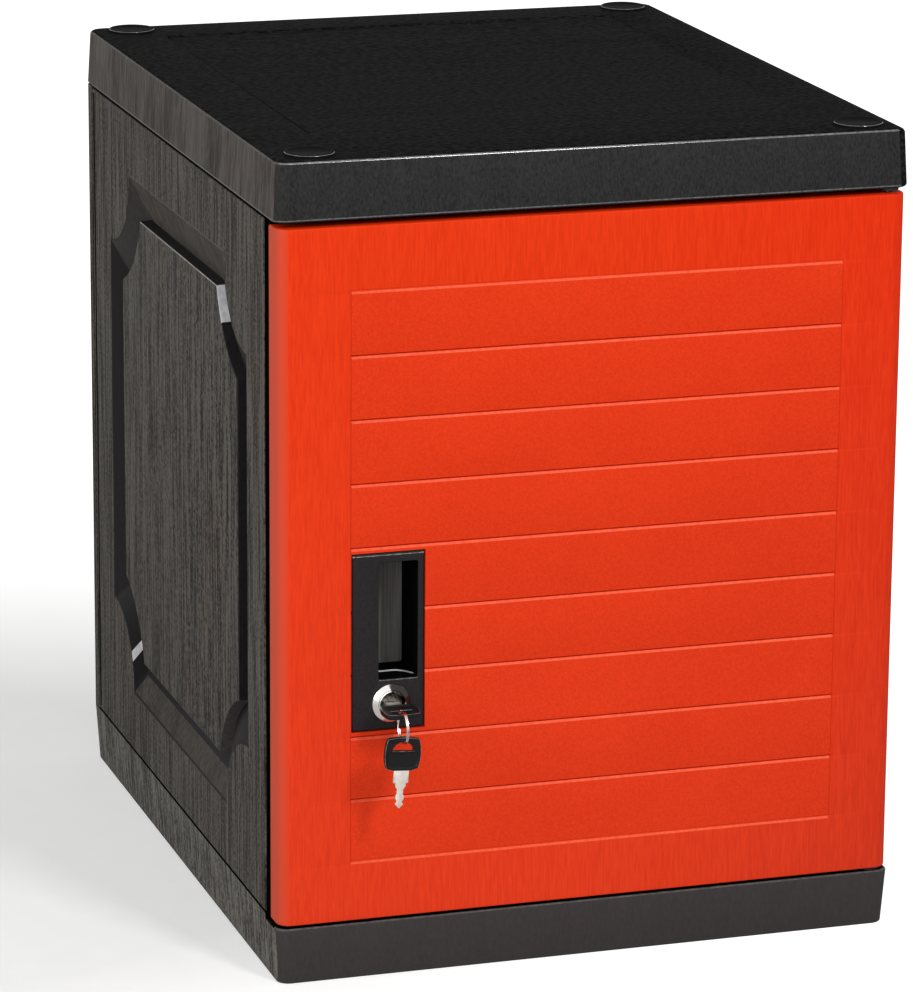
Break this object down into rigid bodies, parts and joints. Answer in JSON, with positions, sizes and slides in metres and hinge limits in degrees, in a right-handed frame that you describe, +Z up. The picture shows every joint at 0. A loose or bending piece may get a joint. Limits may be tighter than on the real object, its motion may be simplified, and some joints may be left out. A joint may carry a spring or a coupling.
{
  "type": "lockable storage cabinet",
  "caption": "Stackable moulded-plastic storage locker with a hinged plank-pattern door, recessed pull, cam lock with its key, and a spare key on a ring.",
  "frame": {"origin": "middle of the cabinet's footprint, on the floor", "axes": "+Z up, the door faces -Y, and +X is to the right for someone facing the door"},
  "size_m": [0.386, 0.4979, 0.494],
  "materials": {
    "case": "moulded wood grain, satin",
    "lid": "moulded wood grain, satin",
    "door": "moulded wood and leather grain, satin",
    "handle": "fine satin",
    "nylon": "plain",
    "chrome": "polished",
    "steel": "plain",
    "core": "machined",
    "key_plastic": "gloss"
  },
  "bodies": {
    "cabinet": {"base_plinth": "case", "left_side_panel": "case", "right_side_panel": "case", "back_panel": "case", "top_cap": "lid", "corner_plugs": "lid", "lower_hinge_bush": "nylon", "upper_hinge_bush": "nylon", "strike_plate": "steel", "strike_screws": "steel"},
    "door": {"door_shell": "door", "door_liner": "door", "liner_screws": "steel", "lower_hinge_pin": "steel", "upper_hinge_pin": "steel", "handle_cup": "handle", "handle_screws": "steel", "lock_body": "chrome", "lock_washer": "steel", "lock_nut": "steel"},
    "lock": {"lock_core": "core", "lock_cam": "steel", "cam_bolt": "steel"},
    "key": {"key_blade": "steel", "key_bow": "key_plastic"},
    "ring": {"key_ring": "chrome"},
    "spare_key": {"spare_key_blade": "steel", "spare_key_bow": "key_plastic"}
  },
  "joints": [
    {"name": "door_swing", "type": "hinge", "parent": "cabinet", "child": "door", "pos_m": [0.1824, -0.2195, 0.245], "axis": [0, 0, 1], "range_deg": [0, 110]},
    {"name": "lock_turn", "type": "hinge", "parent": "door", "child": "lock", "pos_m": [-0.1236, -0.2283, 0.1687], "axis": [0, 1, 0], "range_deg": [0, 90]},
    {"name": "key_pull", "type": "slide", "parent": "lock", "child": "key", "axis": [0, -1, 0], "range_m": [0, 0.02]},
    {"name": "ring_swing", "type": "hinge", "parent": "key", "child": "ring", "pos_m": [-0.1254, -0.25136, 0.1687], "axis": [-1, 0, 0], "range_deg": [0, 30]},
    {"name": "spare_key_swing", "type": "hinge", "parent": "ring", "child": "spare_key", "pos_m": [-0.1254, -0.2593, 0.1537], "axis": [0, 1, 0], "range_deg": [-20, 20]}
  ]
}
